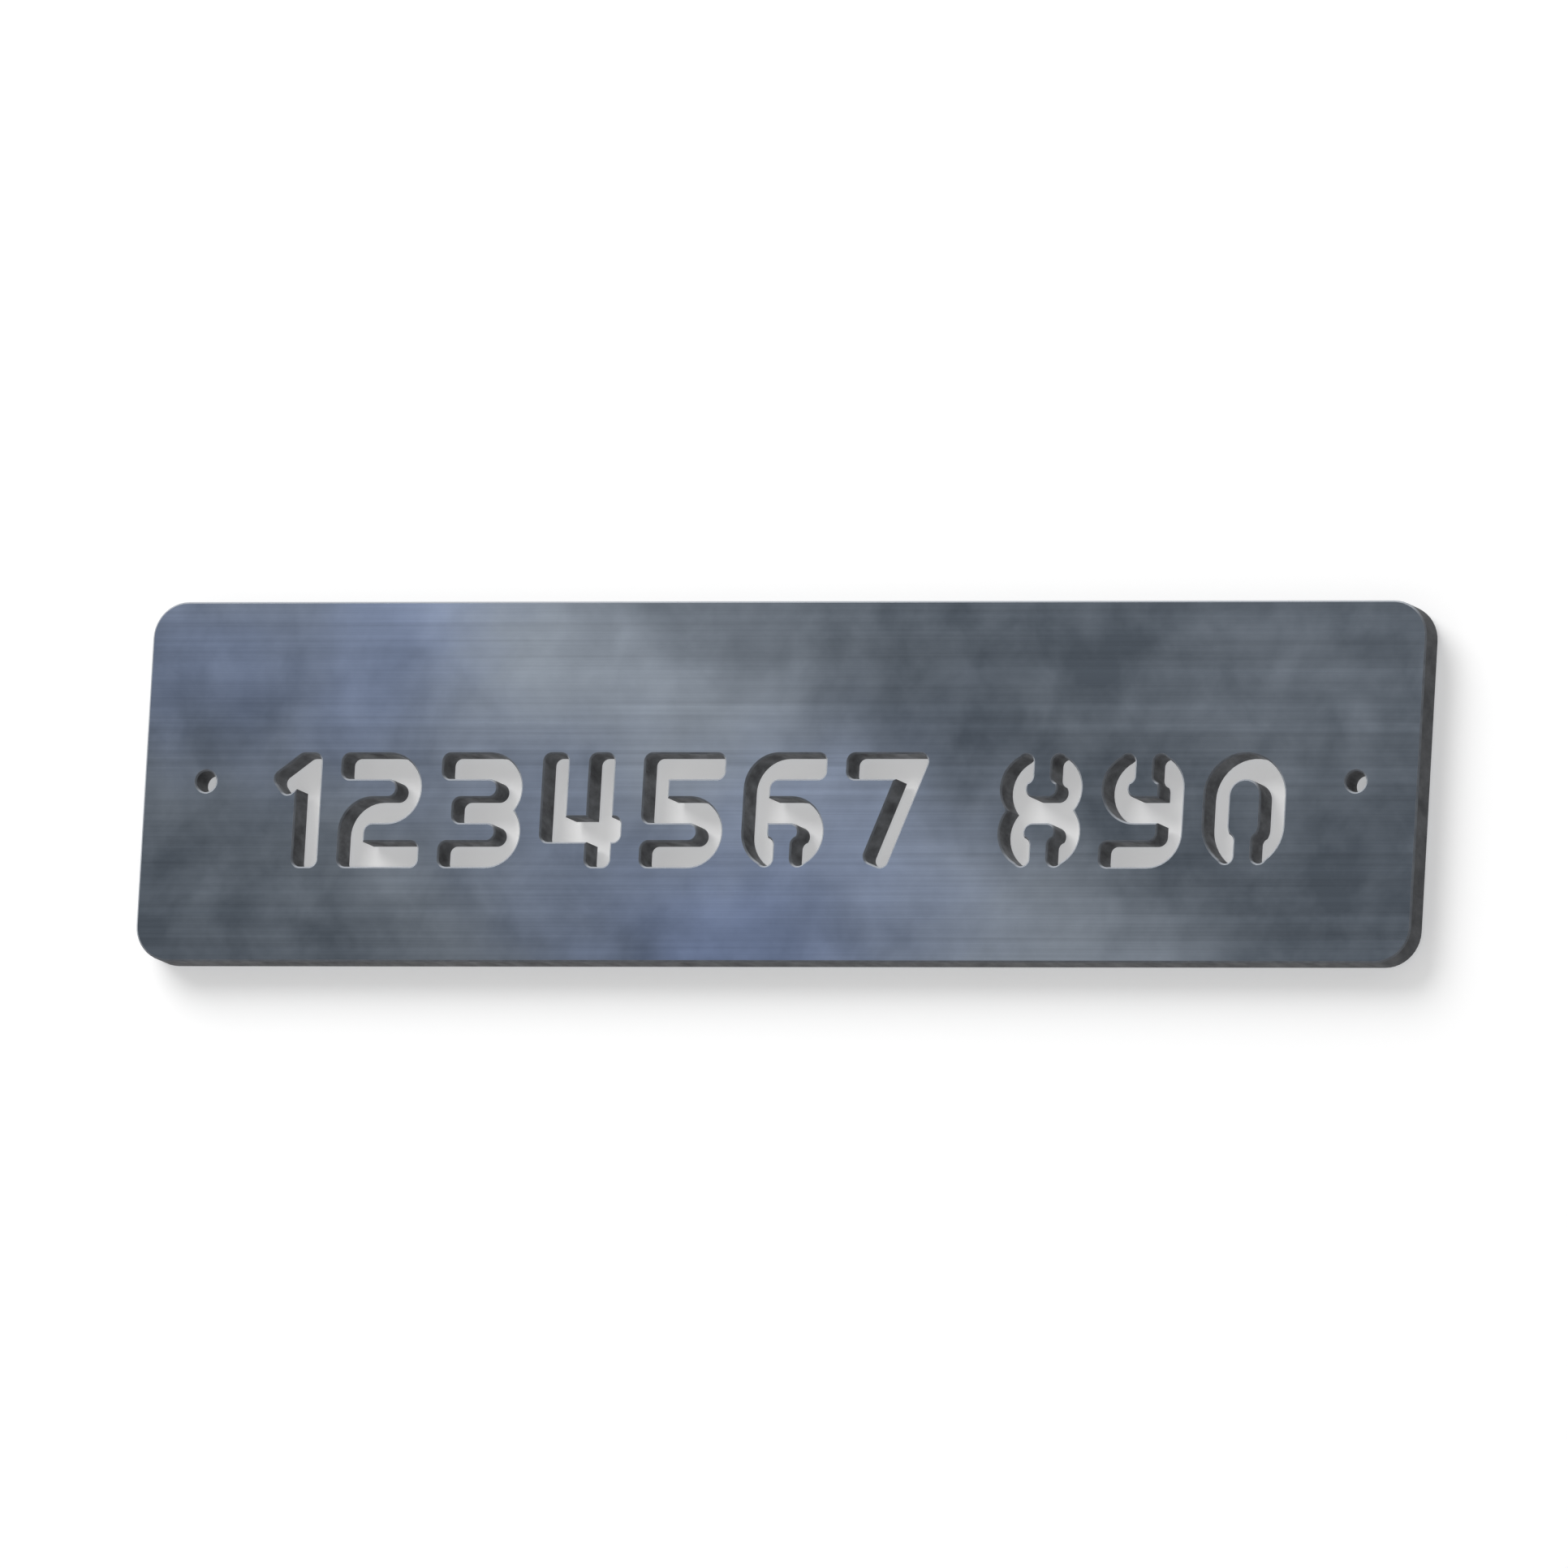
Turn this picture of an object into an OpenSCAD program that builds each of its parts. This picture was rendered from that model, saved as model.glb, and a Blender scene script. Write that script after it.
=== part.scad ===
// Gate name plate: one thick steel plate with rounded corners, a screw hole at each end,
// and a row of plain figures cut right through it as a stencil.
// The length runs along X, the front looks toward -Y, +Z is up.
// The origin is on the back face, midway between the two screw holes.

/* [Plate] */
// Length of the plate
plate_w = 410; // [390:1:600]
// Height of the plate
plate_h = 110; // [80:1:200]
// Thickness of the plate
plate_t = 10; // [3:0.5:12]
// Radius of the plate's four corners
corner_r = 11; // [4:0.5:30]
// Width of the broken edge round the front of the plate and of every opening
edge_chamfer = 0.5; // [0.2:0.1:0.8]

/* [Screw holes] */
// Diameter of the two screw holes
hole_d = 6.4; // [4:0.1:10]
// Distance from the end of the plate to the centre of a screw hole
hole_inset = 20; // [12:0.5:24]

/* [Figures] */
// Height of a figure
figure_h = 34.4; // [32:0.2:42]
// Width of a figure, all but the narrow 1
figure_w = 25.5; // [24:0.1:27]
// Width of the figure 1
one_w = 14.6; // [13:0.1:18]
// Width of the cut strokes
stroke = 7.6; // [6.4:0.1:8]
// Radius of the corners at the end of a stroke
tip_r = 2.3; // [1:0.1:2.8]
// Width of the bridges that hold the middles of the closed figures
bridge_w = 6; // [4:0.2:8]
// Space between two figures
figure_gap = 7.1; // [5:0.1:9]
// Space between the two groups of figures
group_gap = 24.2; // [12:0.2:40]
// How far the row of figures lies below the middle of the plate
row_drop = 8.8; // [0:0.2:12]

/* [Hidden] */
$fn = 96;
first_group = [1, 2, 3, 4, 5, 6, 7];
second_group = [8, 9, 0];
steel = [0.37, 0.42, 0.48];
// Cutters start below the back face and end above the front face by this much
over = 0.4;
// Centre lines of the strokes in a figure that stands on y = 0 with its left side on x = 0
left = stroke / 2;
right = figure_w - stroke / 2;
low = stroke / 2;
mid = figure_h / 2;
top = figure_h - stroke / 2;
// Radius of the turns in a figure of two storeys, and in the figure 0
turn_r = (figure_h - stroke) / 4;
wide_turn_r = (figure_w - stroke) / 2;
// How far the rounded ends beside a bridge stand out of the curved strokes
bulge = 0.12 * tip_r;
// Which way the flag of the 1 and the leg of the 7 run, each one unit long
flag_way = -[4, 3] / 5;
leg_way = -[44, 117] / 125;
// The crossbar of the 4, and how far it runs past the stem
cross_y = 0.33 * figure_h;
cross_past = 0.12 * figure_w;

function sum(list, n) = n == 0 ? 0 : list[n - 1] + sum(list, n - 1);
function width(figure) = figure == 1 ? one_w : figure_w;
function widths(group) = [for (figure = group) width(figure) + figure_gap];
function length_of(group) = sum(widths(group), len(group)) - figure_gap;

// Section of a cut from half-width a on one side to b on the other, open wider at the front
// on each side that has a broken edge
function section(a, b, open_a, open_b) = [
    [a, -over],
    [b, -over],
    [b, plate_t - edge_chamfer],
    [b + open_b * (edge_chamfer + over), plate_t + over],
    [a - open_a * (edge_chamfer + over), plate_t + over],
    [a, plate_t - edge_chamfer]
];

// A straight cut along +X from the origin, with its section across it
module straight(length, a, b, open_a, open_b) {
    rotate([90, 0, 90])
        linear_extrude(length) polygon(section(a, b, open_a, open_b));
}

// A stroke with plain ends from p to q
module run(p, q) {
    translate([p[0], p[1], 0])
        rotate([0, 0, atan2(q[1] - p[1], q[0] - p[0])])
            straight(norm(q - p), -stroke / 2, stroke / 2, 1, 1);
}

// A curved stroke round centre c
module bend(c, r, from, sweep) {
    translate([c[0], c[1], 0]) rotate([0, 0, from])
        rotate_extrude(angle = sweep)
            translate([r, 0]) polygon(section(-stroke / 2, stroke / 2, 1, 1));
}

// The round corner of a stroke
module round_corner(c) {
    translate([c[0], c[1], 0])
        rotate_extrude() polygon(section(0, tip_r, 0, 1));
}

// The flat between two round corners, whose end face looks along +X
module end_face(c, y0, y1) {
    translate([c, y0, 0]) rotate([90, 0, 180])
        linear_extrude(y1 - y0) polygon(section(-tip_r, 0, 1, 0));
}

// A straight stroke that starts plain at p, runs the given way and ends free, with two round
// corners, at the given length
module arm(p, way, length) {
    half = stroke / 2 - tip_r;
    body = length - tip_r;
    translate([p[0], p[1], 0]) rotate([0, 0, atan2(way[1], way[0])]) {
        straight(body, -stroke / 2, stroke / 2, 1, 1);
        for (y = [-half, half]) round_corner([body, y]);
        end_face(body, -half, half);
    }
}

// A turn round c from the right side toward the bottom that stops at a bridge, with an upright
// rounded end. The middle line of that end is at x = reach, measured from c.
module stopped_turn(c, r, reach) {
    inner = r - stroke / 2 + tip_r - bulge;
    outer = r + stroke / 2 - tip_r + bulge;
    inner_stop = asin(reach / inner);
    outer_stop = asin(reach / outer);
    inner_y = inner * cos(inner_stop);
    outer_y = outer * cos(outer_stop);
    // The turn is cut off slantwise between these two points, inside the rounded end
    near = (r - stroke / 2) * [sin(inner_stop), cos(inner_stop)];
    far = (r + stroke / 2) * [sin(outer_stop), cos(outer_stop)];
    translate([c[0], c[1], 0]) mirror([0, 1, 0]) {
        difference() {
            bend([0, 0], r, 0, 90);
            translate([near[0], near[1], 0])
                rotate([0, 0, atan2(far[1] - near[1], far[0] - near[0])])
                    translate([-figure_w, 0, -plate_t])
                        cube([2 * figure_w, figure_w, 3 * plate_t]);
        }
        round_corner([reach, inner_y]);
        round_corner([reach, outer_y]);
        mirror([1, 0, 0]) end_face(-reach, inner_y, outer_y);
    }
}

// Draws what it is given twice, the second time mirrored left to right in the figure
module both_sides() {
    children();
    translate([figure_w, 0, 0]) mirror([1, 0, 0]) children();
}

// Draws what it is given twice, the second time mirrored top to bottom in the figure
module both_storeys() {
    children();
    translate([0, figure_h, 0]) mirror([0, 1, 0]) children();
}

// The bottom of a closed storey: two turns that stop either side of a bridge
module bridged_bottom(r) {
    both_sides()
        stopped_turn([right - r, low + r], r, bridge_w / 2 + tip_r - (figure_w / 2 - left - r));
}

// The half-round right side of the lower storey
module right_turn() {
    bend([right - turn_r, low + turn_r], turn_r, -90, 180);
}

module figure_0() {
    bridged_bottom(wide_turn_r);
    both_sides() run([right, low + wide_turn_r], [right, top - wide_turn_r]);
    bend([figure_w / 2, top - wide_turn_r], wide_turn_r, 0, 180);
}

module figure_1() {
    stem = one_w - stroke / 2;
    corner = [stem - stroke / 2 + tip_r, figure_h - tip_r];
    start = corner + (stroke / 2 - tip_r) * [-flag_way[1], flag_way[0]];
    flag = (stem - stroke / 2) / -flag_way[0] + tip_r;
    both_storeys() arm([stem, mid], [0, -1], mid);
    arm(start, flag_way, flag);
}

module figure_2() {
    arm([right - turn_r, top], [-1, 0], right - turn_r);
    translate([0, mid - low, 0]) right_turn();
    run([left + turn_r, mid], [right - turn_r, mid]);
    bend([left + turn_r, mid - turn_r], turn_r, 90, 90);
    run([left, tip_r], [left, mid - turn_r]);
    round_corner([tip_r, tip_r]);
    arm([tip_r, low], [1, 0], figure_w - tip_r);
}

module figure_3() {
    both_storeys() {
        right_turn();
        arm([right - turn_r, low], [-1, 0], right - turn_r);
    }
    arm([right - turn_r, mid], [-1, 0], right - turn_r - left);
}

module figure_4() {
    foot = cross_y - stroke / 2 + tip_r;
    arm([left, foot], [0, 1], figure_h - foot);
    round_corner([tip_r, foot]);
    arm([tip_r, cross_y], [1, 0], figure_w - tip_r);
    both_storeys() arm([right - cross_past, mid], [0, -1], mid);
}

module figure_5() {
    foot = mid - stroke / 2 + tip_r;
    right_turn();
    arm([right - turn_r, low], [-1, 0], right - turn_r);
    run([tip_r, mid], [right - turn_r, mid]);
    round_corner([tip_r, foot]);
    run([left, foot], [left, figure_h - tip_r]);
    round_corner([tip_r, figure_h - tip_r]);
    arm([tip_r, top], [1, 0], figure_w - tip_r);
}

module figure_6() {
    bridged_bottom(turn_r);
    bend([right - turn_r, low + turn_r], turn_r, 0, 90);
    run([left, mid], [right - turn_r, mid]);
    run([left, low + turn_r], [left, top - turn_r]);
    bend([left + turn_r, top - turn_r], turn_r, 90, 90);
    arm([left + turn_r, top], [1, 0], right - turn_r);
}

module figure_7() {
    corner = [figure_w - tip_r, figure_h - tip_r];
    start = corner + (stroke / 2 - tip_r) * [leg_way[1], -leg_way[0]];
    // The lower corner of the leg's end rests on y = 0
    leg = (figure_h - 2 * tip_r) / -leg_way[1] + tip_r;
    arm([figure_w - tip_r, top], [-1, 0], figure_w - tip_r);
    round_corner(corner);
    arm(start, leg_way, leg);
}

module figure_8() {
    both_storeys() {
        bridged_bottom(turn_r);
        both_sides() bend([right - turn_r, low + turn_r], turn_r, 0, 90);
    }
    run([left + turn_r, mid], [right - turn_r, mid]);
}

module figure_9() {
    translate([figure_w, figure_h, 0]) rotate([0, 0, 180]) figure_6();
}

module figure(n) {
    if (n == 0) figure_0();
    if (n == 1) figure_1();
    if (n == 2) figure_2();
    if (n == 3) figure_3();
    if (n == 4) figure_4();
    if (n == 5) figure_5();
    if (n == 6) figure_6();
    if (n == 7) figure_7();
    if (n == 8) figure_8();
    if (n == 9) figure_9();
}

// A group of figures side by side, from the origin to the right
module group_of(group) {
    for (i = [0 : len(group) - 1])
        translate([sum(widths(group), i), 0, 0]) figure(group[i]);
}

// The whole row, centred on x = 0
module figure_row() {
    row_w = length_of(first_group) + group_gap + length_of(second_group);
    translate([-row_w / 2, -row_drop - figure_h / 2, 0]) {
        group_of(first_group);
        translate([length_of(first_group) + group_gap, 0, 0]) group_of(second_group);
    }
}

// One corner post of the plate, with its front edge broken
module plate_corner() {
    rotate_extrude()
        polygon([
            [0, 0],
            [corner_r, 0],
            [corner_r, plate_t - edge_chamfer],
            [corner_r - edge_chamfer, plate_t],
            [0, plate_t]
        ]);
}

// A straight length of the plate between two corners, centred on the origin and run along +X
module plate_middle(length, across) {
    half = across / 2;
    translate([-length / 2, 0, 0]) rotate([90, 0, 90])
        linear_extrude(length)
            polygon([
                [-half, 0],
                [half, 0],
                [half, plate_t - edge_chamfer],
                [half - edge_chamfer, plate_t],
                [-half + edge_chamfer, plate_t],
                [-half, plate_t - edge_chamfer]
            ]);
}

module plate_blank() {
    corner_x = plate_w / 2 - corner_r;
    corner_y = plate_h / 2 - corner_r;
    plate_middle(2 * corner_x, plate_h);
    rotate([0, 0, 90]) plate_middle(2 * corner_y, plate_w);
    for (x = [-corner_x, corner_x], y = [-corner_y, corner_y])
        translate([x, y, 0]) plate_corner();
}

module screw_hole() {
    rotate_extrude() polygon(section(0, hole_d / 2, 0, 1));
}

// Drawn lying on its back, then stood up with its front toward -Y
module name_plate() {
    hole_x = plate_w / 2 - hole_inset;
    color(steel) rotate([90, 0, 0])
        difference() {
            plate_blank();
            figure_row();
            for (x = [-hole_x, hole_x]) translate([x, 0, 0]) screw_hole();
        }
}

name_plate();
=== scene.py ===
import math

import bmesh
import bpy
from mathutils import Matrix, Vector


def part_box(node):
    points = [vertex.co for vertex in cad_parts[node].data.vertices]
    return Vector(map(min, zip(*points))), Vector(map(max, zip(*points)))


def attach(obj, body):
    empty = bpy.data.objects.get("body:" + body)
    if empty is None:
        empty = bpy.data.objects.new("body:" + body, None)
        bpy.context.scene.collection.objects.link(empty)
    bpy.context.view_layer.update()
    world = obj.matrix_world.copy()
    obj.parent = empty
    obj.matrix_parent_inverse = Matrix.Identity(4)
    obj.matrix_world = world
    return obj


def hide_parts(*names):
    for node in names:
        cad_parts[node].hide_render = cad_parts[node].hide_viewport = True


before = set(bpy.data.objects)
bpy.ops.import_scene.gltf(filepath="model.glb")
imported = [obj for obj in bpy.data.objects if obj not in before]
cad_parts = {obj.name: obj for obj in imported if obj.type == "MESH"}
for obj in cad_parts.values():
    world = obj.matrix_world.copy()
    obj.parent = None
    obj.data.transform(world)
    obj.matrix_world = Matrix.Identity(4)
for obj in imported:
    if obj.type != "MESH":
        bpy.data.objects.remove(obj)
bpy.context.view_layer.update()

# The plate: one piece of 10 mm steel cut to a rounded outline, with its figures and two screw
# holes cut right through. The faces are brushed along the length, and the front has a painted
# reflection in pale and blue clouds. The cut edges are left dark, with painted shade on the outline,
# and the front arris is broken with a fine wheel and has a painted highlight on the sides that face up
# and to the left.
plate_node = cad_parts["name_plate"]
plate_low, plate_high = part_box("name_plate")
weld_gap = 1e-6
flat_angle = math.radians(1)
crease_angle = math.radians(34)
front_rounding = 0.00014
back_rounding = 0.00018
rounding_steps = 2
square_on = 0.999
edge_on = 0.02
FRONT, BACK, CUT, ARRIS = range(4)

plate_mesh = plate_node.data.copy()
plate_mesh.name = "plate"
plate_mesh.materials.clear()
plate = bpy.data.objects.new("plate", plate_mesh)
bpy.context.scene.collection.objects.link(plate)


def side_of(face):
    """Which side of the plate a face belongs to, by how far it looks along the thickness."""
    if face.normal.y < -square_on:
        return FRONT
    if face.normal.y > square_on:
        return BACK
    if abs(face.normal.y) < edge_on:
        return CUT
    return ARRIS


def edges_between(shape, one, other):
    """The edges where two sides of the plate meet."""
    return [
        edge
        for edge in shape.edges
        if sorted(side_of(face) for face in edge.link_faces) == sorted((one, other))
    ]


shape = bmesh.new()
shape.from_mesh(plate_mesh)
bmesh.ops.remove_doubles(shape, verts=shape.verts, dist=weld_gap)
bmesh.ops.dissolve_limit(
    shape, angle_limit=flat_angle, verts=shape.verts, edges=shape.edges, delimit=set()
)
shape.normal_update()
for width, edges in (
    (front_rounding, edges_between(shape, FRONT, ARRIS) + edges_between(shape, CUT, ARRIS)),
    (back_rounding, edges_between(shape, BACK, CUT)),
):
    bmesh.ops.bevel(
        shape,
        geom=edges,
        offset=width,
        offset_type="OFFSET",
        segments=rounding_steps,
        profile=0.5,
        affect="EDGES",
        clamp_overlap=True,
        material=-1,
    )
    shape.normal_update()
for face in shape.faces:
    face.material_index = side_of(face)
    face.smooth = True
for edge in shape.edges:
    edge.smooth = edge.calc_face_angle(math.pi) < crease_angle
shape.to_mesh(plate_mesh)
shape.free()
weighted = plate.modifiers.new("even_faces", "WEIGHTED_NORMAL")
weighted.keep_sharp = True

# The brushing: hairlines that a belt draws along the length, in thin and in broader bands, with
# here and there the plain edge of one pass of the belt. Each kind has its changes in a metre along,
# through and up the plate, its detail, its softness and the way it fades.
belt_marks = (
    ("Hairs", (9, 300, 1150), 2.0, 0.20, "LINEAR"),
    ("Bands", (1.3, 200, 430), 4.0, 0.20, "LINEAR"),
    ("Passes", (1.0, 40, 105), 3.0, 0.07, "SMOOTHSTEP"),
)
noise_middle = 0.5


def feed(tree, socket, value):
    """Links an input to another node's output, or sets it to a plain value."""
    if isinstance(value, bpy.types.NodeSocket):
        tree.links.new(value, socket)
    else:
        socket.default_value = value


def put(tree, kind, settings=None, **inputs):
    """Adds a node. An input is given by its name with _ for a space, as a value or an output."""
    made = tree.nodes.new("ShaderNode" + kind)
    for name, value in (settings or {}).items():
        setattr(made, name, value)
    for name, value in inputs.items():
        feed(tree, made.inputs[name.replace("_", " ")], value)
    return made


def reckon(tree, operation, *values):
    """A Math node."""
    made = put(tree, "Math", {"operation": operation})
    for socket, value in zip(made.inputs, values):
        feed(tree, socket, value)
    return made.outputs[0]


def summed(tree, start, *parts):
    """Adds patterns to a start, each with its weight."""
    total = start
    for pattern, weight in parts:
        total = reckon(tree, "ADD", total, reckon(tree, "MULTIPLY", pattern, weight))
    return total


def ranged(tree, value, low, high, to_low=0.0, to_high=1.0, ease="LINEAR"):
    """A Map Range node, whose result stays between its two ends."""
    return put(
        tree,
        "MapRange",
        {"interpolation_type": ease},
        Value=value,
        From_Min=low,
        From_Max=high,
        To_Min=to_low,
        To_Max=to_high,
    ).outputs["Result"]


def new_group(name, wanted, given):
    """An empty node group with these inputs, each a name and its value, and these outputs."""
    group = bpy.data.node_groups.new(name, "ShaderNodeTree")
    for label, value in wanted.items():
        socket = group.interface.new_socket(label, in_out="INPUT", socket_type="NodeSocketFloat")
        socket.default_value = value
    for label in given:
        group.interface.new_socket(label, in_out="OUTPUT", socket_type="NodeSocketFloat")
    inside = group.nodes.new("NodeGroupInput")
    outside = group.nodes.new("NodeGroupOutput")
    return group, inside.outputs, outside.inputs


brushing, wanted, given = new_group(
    "brushing", {"Hairs": 1.0, "Bands": 1.0, "Passes": 1.0}, ("Lines", "Hairlines")
)
spot = put(brushing, "TexCoord").outputs["Object"]
lines = 0.0
for name, often, detail, softness, ease in belt_marks:
    drawn = put(brushing, "Mapping", Vector=spot, Scale=often).outputs[0]
    drawn = put(brushing, "TexNoise", Vector=drawn, Scale=1.0, Detail=detail, Roughness=0.7).outputs[0]
    drawn = ranged(brushing, drawn, noise_middle - softness, noise_middle + softness, -1.0, 1.0, ease)
    lines = summed(brushing, lines, (drawn, wanted[name]))
    if name == "Hairs":
        brushing.links.new(drawn, given["Hairlines"])
brushing.links.new(lines, given["Lines"])

# The clouding: soft patches of unlike tone that the finish has taken all over. Size is that of
# a patch in metres, and Drawn is how many times longer it is through the thickness.
cloud_start = (0.31, 0.07, 0.83)
cloud_softness = 0.2


def reckon_vector(tree, operation, *values):
    """A Vector Math node."""
    made = put(tree, "VectorMath", {"operation": operation})
    for socket, value in zip(made.inputs, values):
        feed(tree, socket, value)
    return made.outputs


clouding, wanted, given = new_group("clouding", {"Size": 0.05, "Drawn": 1.0}, ("Cloud",))
spot = put(clouding, "TexCoord").outputs["Object"]
spot = put(clouding, "Mapping", Vector=spot, Location=cloud_start).outputs[0]
squeeze = put(clouding, "CombineXYZ", X=1.0, Y=reckon(clouding, "DIVIDE", 1.0, wanted["Drawn"]), Z=1.0)
puffs = put(
    clouding,
    "TexNoise",
    Vector=reckon_vector(clouding, "MULTIPLY", spot, squeeze.outputs[0])["Vector"],
    Scale=reckon(clouding, "DIVIDE", 1.0, wanted["Size"]),
    Detail=4.0,
    Roughness=0.56,
    Distortion=0.2,
).outputs[0]
cloud = ranged(clouding, puffs, noise_middle - cloud_softness, noise_middle + cloud_softness, -1.0, 1.0)
clouding.links.new(cloud, given["Cloud"])

# The brushed front: slate steel with a painted reflection, a pale diagonal band of sheen, and a blue
# tinge painted where that thins out, both with wandering edges. Each bloom has its middle,
# half-lengths, turn and weight, and each layer of clouds its size and weight.
dark_slate = (0.060, 0.072, 0.088, 1)
pale_steel = (0.225, 0.255, 0.296, 1)
blue_sheen_tint = (0.93, 1.03, 1.36, 1)
painted_sheen_blooms = (
    ((-0.056, 0.014), (0.220, 0.100), 35, 0.45),
    ((-0.100, 0.057), (0.220, 0.040), 30, 0.38),
    ((-0.110, -0.050), (0.115, 0.040), 57, 0.17),
    ((0.090, -0.048), (0.130, 0.040), 28, 0.45),
    ((-0.176, 0.064), (0.136, 0.100), -57, 0.17),
    ((0.167, 0.032), (0.076, 0.062), 57, 0.15),
)
painted_blue_sheen_blooms = (
    ((-0.135, 0.043), (0.056, 0.074), 29, 0.67),
    ((-0.193, 0.037), (0.041, 0.052), 0, 0.63),
    ((0.003, -0.046), (0.109, 0.071), -42, 0.64),
    ((-0.048, -0.036), (0.133, 0.054), 38, 0.42),
)
bloom_rise = 0.9
wander_often = 26.0
wander_reach = (0.05, 0.0, 0.04)
front_tone = 0.09
front_clouds = ((0.060, 0.05), (0.020, 0.15))
brushed_spread = 0.05
hairline_depth = 0.000004


def use_group(tree, group, **values):
    """Places a group in a material with its own values."""
    made = tree.nodes.new("ShaderNodeGroup")
    made.node_tree = group
    for name, value in values.items():
        made.inputs[name].default_value = value
    return made.outputs


def blended(tree, share, low, high, blend="MIX"):
    """A Mix node for colours: low where share is 0 and high where it is 1."""
    made = put(tree, "Mix", {"data_type": "RGBA", "blend_type": blend})
    factor, first_colour, second_colour = made.inputs[0], made.inputs[6], made.inputs[7]
    feed(tree, factor, share)
    feed(tree, first_colour, low)
    feed(tree, second_colour, high)
    return made.outputs[2]


def finish_material(name, metallic, roughness, **others):
    """A material with one Principled shader, whose patterns are added after."""
    made = bpy.data.materials.new(name)
    made.use_nodes = True
    tree = made.node_tree
    tree.nodes.clear()
    shader = put(tree, "BsdfPrincipled", Metallic=metallic, Roughness=roughness, **others)
    tree.links.new(shader.outputs[0], tree.nodes.new("ShaderNodeOutputMaterial").inputs[0])
    return made, tree, shader


def painted_sheen_patches(tree, spot, blooms):
    """Soft round patches of painted sheen on the face, each stretched and turned, with their weights.
    """
    patches = []
    for (x, z), (half_x, half_z), turn, weight in blooms:
        place = put(
            tree,
            "Mapping",
            {"vector_type": "TEXTURE"},
            Vector=spot,
            Location=(x, plate_low.y, z),
            Rotation=(0, math.radians(turn), 0),
            Scale=(half_x, 1, half_z),
        )
        patch = put(tree, "TexGradient", {"gradient_type": "SPHERICAL"}, Vector=place.outputs[0])
        patches.append((ranged(tree, patch.outputs["Fac"], 0.0, bloom_rise, ease="SMOOTHSTEP"), weight))
    return patches


def vary_roughness(tree, shader, pattern, spread):
    """Makes the surface smoother where a pattern is high, and as much rougher where it is low."""
    rough = shader.inputs["Roughness"]
    middle = rough.default_value
    tree.links.new(ranged(tree, pattern, -1.0, 1.0, middle + spread, middle - spread), rough)


def raise_relief(tree, shader, height, depth):
    """Gives the surface a fine relief of this depth in metres."""
    relief = put(tree, "Bump", Strength=0.5, Distance=depth, Height=height)
    tree.links.new(relief.outputs[0], shader.inputs["Normal"])


def brush_over(tree, shader, steel, **weights):
    """Draws the brushing over a steel, in its colour, its roughness and its relief."""
    lines = use_group(tree, brushing, **weights)
    shine = reckon(tree, "ADD", lines["Lines"], 1.0)
    tree.links.new(blended(tree, 1.0, steel, shine, "MULTIPLY"), shader.inputs["Base Color"])
    vary_roughness(tree, shader, lines["Hairlines"], brushed_spread)
    raise_relief(tree, shader, lines["Hairlines"], hairline_depth)


front, tree, shader = finish_material("brushed_front", metallic=1.0, roughness=0.32, Anisotropic=0.5)
spot = put(tree, "TexCoord").outputs["Object"]
wander = put(tree, "TexNoise", Vector=spot, Scale=wander_often, Detail=3.0, Roughness=0.55)
plain_grey = (noise_middle, noise_middle, noise_middle)
centred = reckon_vector(tree, "SUBTRACT", wander.outputs["Color"], plain_grey)["Vector"]
wandered = reckon_vector(tree, "MULTIPLY_ADD", centred, wander_reach, spot)["Vector"]
clouds = [(use_group(tree, clouding, Size=size)["Cloud"], weight) for size, weight in front_clouds]
# Painted reflection: the pale and the blue sheen are laid into the colour here.
tone_and_sheen = summed(tree, front_tone, *clouds, *painted_sheen_patches(tree, wandered, painted_sheen_blooms))
blue_sheen = summed(tree, 0.0, *painted_sheen_patches(tree, wandered, painted_blue_sheen_blooms))
steel = blended(tree, tone_and_sheen, dark_slate, pale_steel)
steel = blended(tree, blue_sheen, steel, blue_sheen_tint, "MULTIPLY")
brush_over(tree, shader, steel, Hairs=0.080, Bands=0.120, Passes=0.040)

# The back: the same brushing without the bloom, a little duller from the mill. It is the face
# that lies against the gate or the wall.
back_dark = (0.085, 0.098, 0.118, 1)
back_pale = (0.190, 0.213, 0.248, 1)
back_tone = 0.45
back_cloud_size = 0.060
back_cloud_weight = 0.25
back, tree, shader = finish_material("brushed_back", metallic=1.0, roughness=0.48, Anisotropic=0.3)
cloud = use_group(tree, clouding, Size=back_cloud_size)["Cloud"]
steel = blended(tree, summed(tree, back_tone, (cloud, back_cloud_weight)), back_dark, back_pale)
brush_over(tree, shader, steel, Hairs=0.07, Bands=0.10, Passes=0.04)

# The cut edges: a dark, dry scale that the cutting leaves, mottled in patches of a few millimetres
# with a fine grain. On the outline they are painted darker still, as shade, than in the figures and the
# screw holes.
scale_dark = (0.052, 0.054, 0.058, 1)
scale_pale = (0.200, 0.209, 0.223, 1)
scale_tone = 0.52
scale_spread = 0.07
scale_depth = 0.00003
scale_drawn = 2.5
mottle_size = 0.0045
mottle_weight = 0.40
patch_size = 0.014
patch_weight = 0.22
grain_size = 0.0014
outline_band = 0.010
outline_shade_share = 0.34
cut, tree, shader = finish_material(
    "cut_edge", metallic=0.0, roughness=0.67, Specular_IOR_Level=0.12
)
mottle, patch, grain = (
    use_group(tree, clouding, Size=size, Drawn=scale_drawn)["Cloud"]
    for size in (mottle_size, patch_size, grain_size)
)
spot = put(tree, "SeparateXYZ", Vector=put(tree, "TexCoord").outputs["Object"]).outputs
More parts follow.
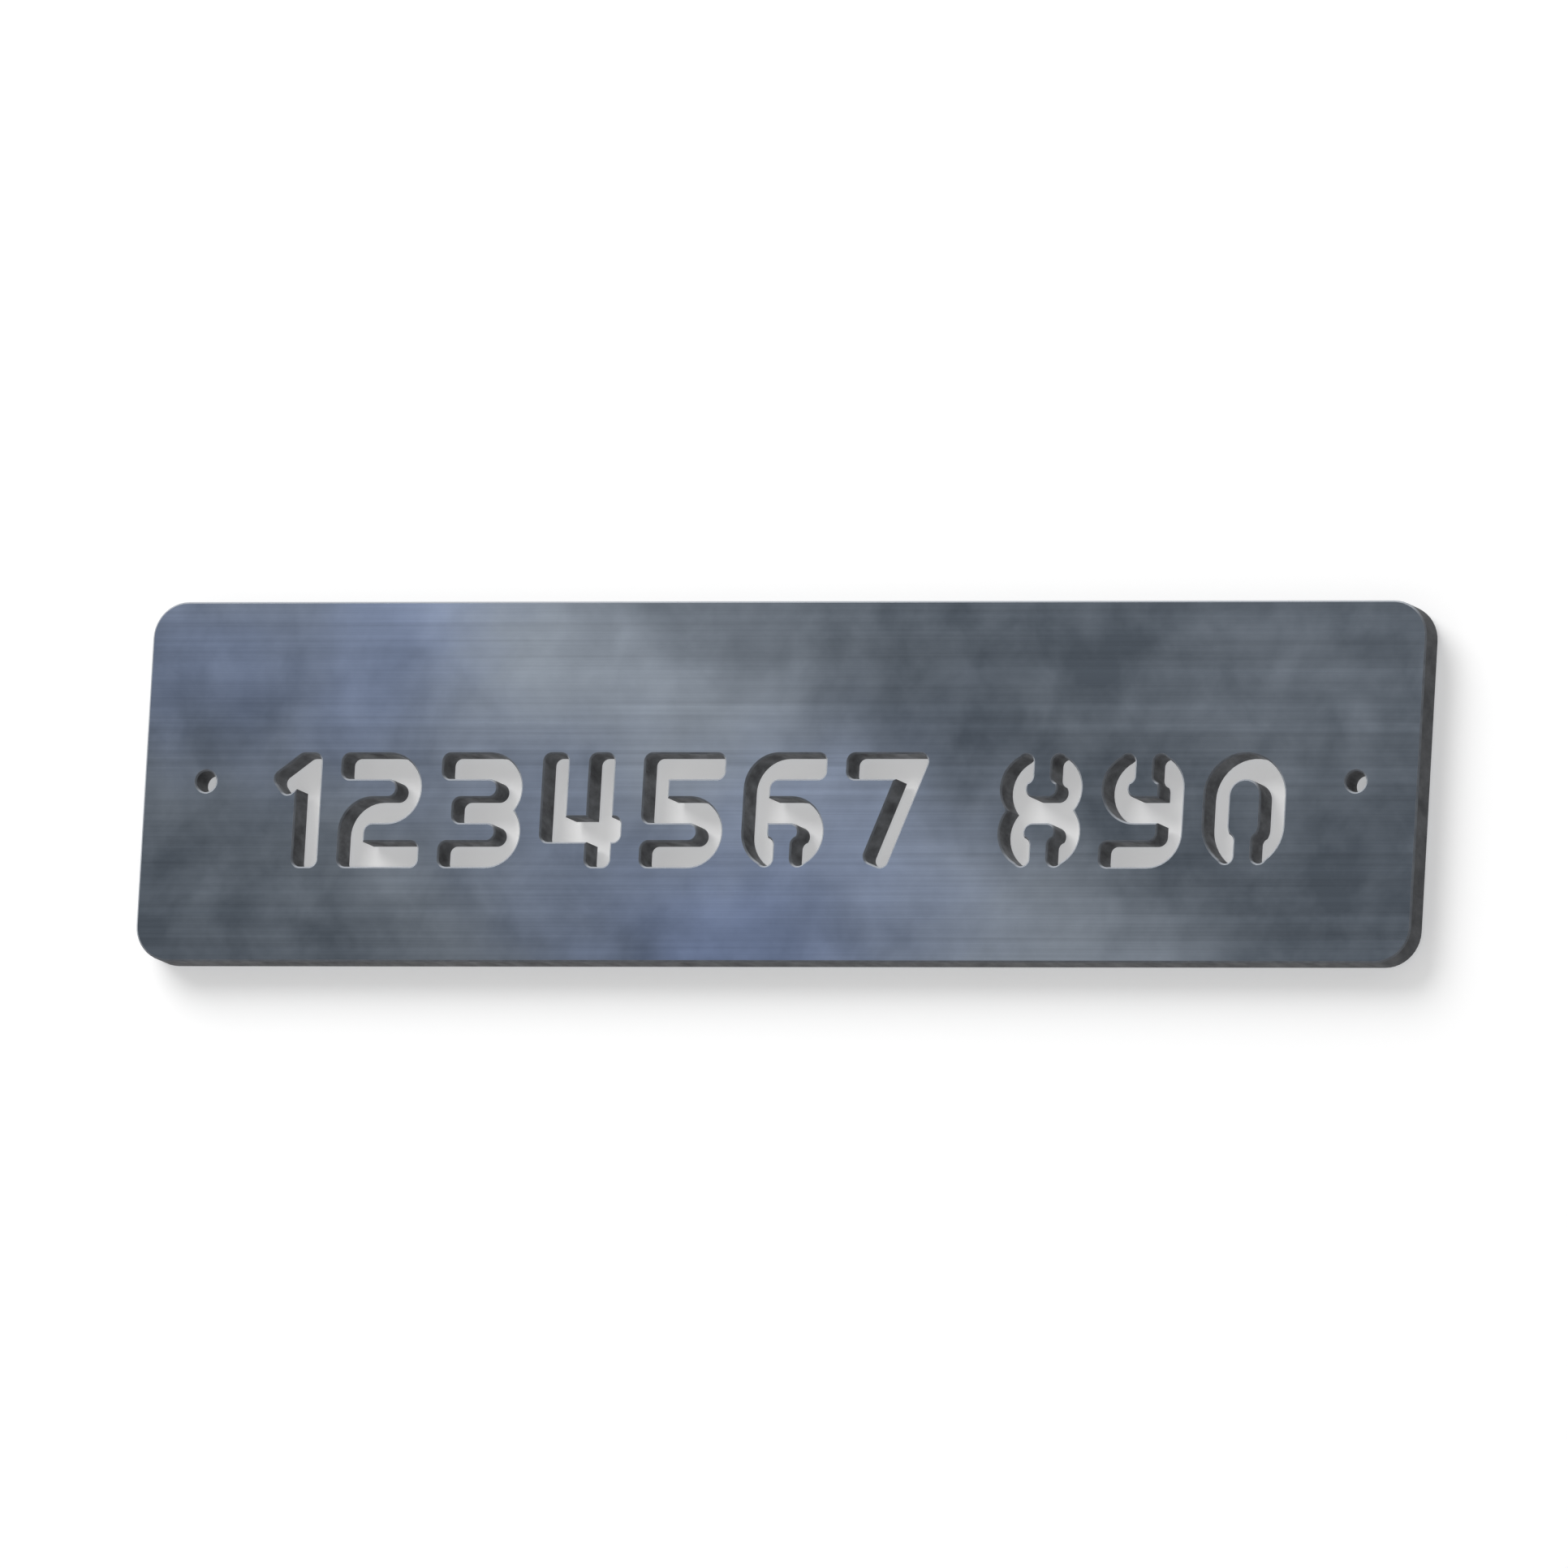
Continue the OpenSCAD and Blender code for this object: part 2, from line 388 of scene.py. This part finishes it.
# Painted shade: the tone of the outline's edges is held down.
past_ends = reckon(tree, "SUBTRACT", reckon(tree, "ABSOLUTE", spot["X"]), plate_high.x - outline_band)
past_sides = reckon(tree, "SUBTRACT", reckon(tree, "ABSOLUTE", spot["Z"]), plate_high.z - outline_band)
outline = reckon(tree, "GREATER_THAN", reckon(tree, "MAXIMUM", past_ends, past_sides), 0.0)
outline_shade_cap = ranged(tree, outline, 0.0, 1.0, 1.0, outline_shade_share)
tone = summed(tree, scale_tone, (mottle, mottle_weight), (patch, patch_weight))
tone = ranged(tree, tone, 0.0, 1.0, 0.0, outline_shade_cap)
tree.links.new(blended(tree, tone, scale_dark, scale_pale), shader.inputs["Base Color"])
vary_roughness(tree, shader, mottle, scale_spread)
raise_relief(tree, shader, grain, scale_depth)

# The arris: bare steel, with a highlight painted pale on the edges that face up and to the left, where
# the lamp falls, and left darker on the others.
arris_dark = (0.112, 0.123, 0.140, 1)
arris_highlight = (0.330, 0.352, 0.385, 1)
arris_tone = 0.08
arris_spread = 0.06
nick_size = 0.004
nick_weight = 0.12
highlight_way = (-0.6, 0.0, 0.8)
highlight_from = -0.2
highlight_full = 0.4
arris, tree, shader = finish_material(
    "broken_arris", metallic=0.0, roughness=0.5, Specular_IOR_Level=0.2
)
nicks = use_group(tree, clouding, Size=nick_size)["Cloud"]
# Painted highlight: pale on the sides that face up and to the left, towards the lamp.
facing = reckon_vector(tree, "DOT_PRODUCT", put(tree, "TexCoord").outputs["Normal"], highlight_way)["Value"]
painted_highlight = ranged(tree, facing, highlight_from, highlight_full, ease="SMOOTHSTEP")
tone = summed(tree, arris_tone, (painted_highlight, 1.0), (nicks, nick_weight))
tree.links.new(blended(tree, tone, arris_dark, arris_highlight), shader.inputs["Base Color"])
vary_roughness(tree, shader, nicks, arris_spread)

for material in (front, back, cut, arris):
    plate_mesh.materials.append(material)
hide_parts("name_plate")
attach(plate, "root")

# The backdrop: a sheet of white paper close behind the plate, which takes its soft shadow. Only
# the camera sees it, and only from the front, so that light and other views pass through it.
paper_gap = 0.002
paper_half = 1.5
paper_glow = 0.36
paper_white = 0.72


def flat_sheet(name, half, place):
    """A square sheet of this half-width, which looks up before it is moved to its place."""
    shape = bmesh.new()
    bmesh.ops.create_grid(shape, x_segments=1, y_segments=1, size=half, matrix=place)
    mesh = bpy.data.meshes.new(name)
    shape.to_mesh(mesh)
    shape.free()
    sheet = bpy.data.objects.new(name, mesh)
    bpy.context.scene.collection.objects.link(sheet)
    return sheet


def plain_sight(tree):
    """Is 1 for the rays that show the surroundings: the camera's own, and those in metal or glass."""
    path = put(tree, "LightPath").outputs
    seen = reckon(tree, "MAXIMUM", path["Is Camera Ray"], path["Is Glossy Ray"])
    return reckon(tree, "MAXIMUM", seen, path["Is Transmission Ray"])


def white_ground(name, glow, white):
    """A white sheet, with part of its white its own so that it stays white in plain light. It is
    clear from behind."""
    made = bpy.data.materials.new(name)
    made.use_nodes = True
    tree = made.node_tree
    tree.nodes.clear()
    glowing = reckon(tree, "MULTIPLY", plain_sight(tree), glow)
    own = put(tree, "Emission", Color=(1, 1, 1, 1), Strength=glowing)
    lit = put(tree, "BsdfDiffuse", Color=(white, white, white, 1))
    ground = put(tree, "AddShader")
    for socket, part in zip(ground.inputs, (own, lit)):
        tree.links.new(part.outputs[0], socket)
    clear = put(tree, "BsdfTransparent")
    side = put(tree, "NewGeometry").outputs["Backfacing"]
    sheet = put(tree, "MixShader")
    for socket, part in zip(sheet.inputs, (side, ground.outputs[0], clear.outputs[0])):
        tree.links.new(part, socket)
    tree.links.new(sheet.outputs[0], tree.nodes.new("ShaderNodeOutputMaterial").inputs[0])
    return made


to_the_front = Vector((0, -1, 0)).to_track_quat("Z", "Y").to_matrix().to_4x4()
behind = Matrix.Translation((0, plate_high.y + paper_gap, 0))
paper = flat_sheet("paper", paper_half, behind @ to_the_front)
for kind in ("diffuse", "glossy", "transmission", "shadow"):
    setattr(paper, "visible_" + kind, False)
paper.data.materials.append(white_ground("white_paper", paper_glow, paper_white))

# The floor: plain and pale, as far below the plate as a gate carries it above the ground. It is
# clear from below, because the camera looks up through it.
floor_drop = 1.3
floor_half = 12.0
floor_glow = 0.76
floor_white = 0.50
floor = flat_sheet("floor", floor_half, Matrix.Translation((0, 0, -floor_drop)))
floor.data.materials.append(white_ground("pale_floor", floor_glow, floor_white))

# The light: a pale room all round, and one large soft lamp high on the left.
fill_strength = 0.5
room = bpy.data.worlds.new("room")
room.use_nodes = True
bpy.context.scene.world = room
tree = room.node_tree
tree.nodes.clear()
strength = ranged(tree, plain_sight(tree), 0.0, 1.0, fill_strength, 1.0)
sky = put(tree, "Background", Color=(1, 1, 1, 1), Strength=strength)
tree.links.new(sky.outputs[0], tree.nodes.new("ShaderNodeOutputWorld").inputs[0])

lamp_size = 4.0
lamp_distance = 5.0
lamp_power = 225.0
lamp_way = Vector((-0.72, -1.0, 1.05)).normalized()
lamp_data = bpy.data.lights.new("soft_lamp", "AREA")
lamp_data.shape = "DISK"
lamp_data.size = lamp_size
lamp_data.energy = lamp_power
lamp = bpy.data.objects.new("soft_lamp", lamp_data)
bpy.context.scene.collection.objects.link(lamp)
lamp.location = lamp_way * lamp_distance
lamp.rotation_euler = lamp_way.to_track_quat("Z", "Y").to_euler()

# The camera: low and to the right, far off with a long lens, so that it sees into the cuts from
# that side with next to no perspective. It is turned a little to keep the long edges level.
camera_azimuth = math.radians(21)
camera_elevation = math.radians(-8.5)
camera_distance = 14.0
view_width = 0.4720
view_depth = 60.0
away = Vector(
    (
        math.sin(camera_azimuth) * math.cos(camera_elevation),
        -math.cos(camera_azimuth) * math.cos(camera_elevation),
        math.sin(camera_elevation),
    )
)
plate_middle = (plate_low + plate_high) / 2
level = math.atan(math.tan(camera_azimuth) * math.sin(-camera_elevation))
camera_data = bpy.data.cameras.new("camera")
camera_data.lens = camera_data.sensor_width * camera_distance / view_width
camera_data.clip_end = view_depth
camera = bpy.data.objects.new("camera", camera_data)
bpy.context.scene.collection.objects.link(camera)
camera.location = plate_middle + away * camera_distance
camera.rotation_euler = away.to_track_quat("Z", "Y").to_euler()
camera.rotation_euler.rotate_axis("Z", level)
bpy.context.scene.camera = camera

bpy.context.scene.view_settings.view_transform = "Standard"
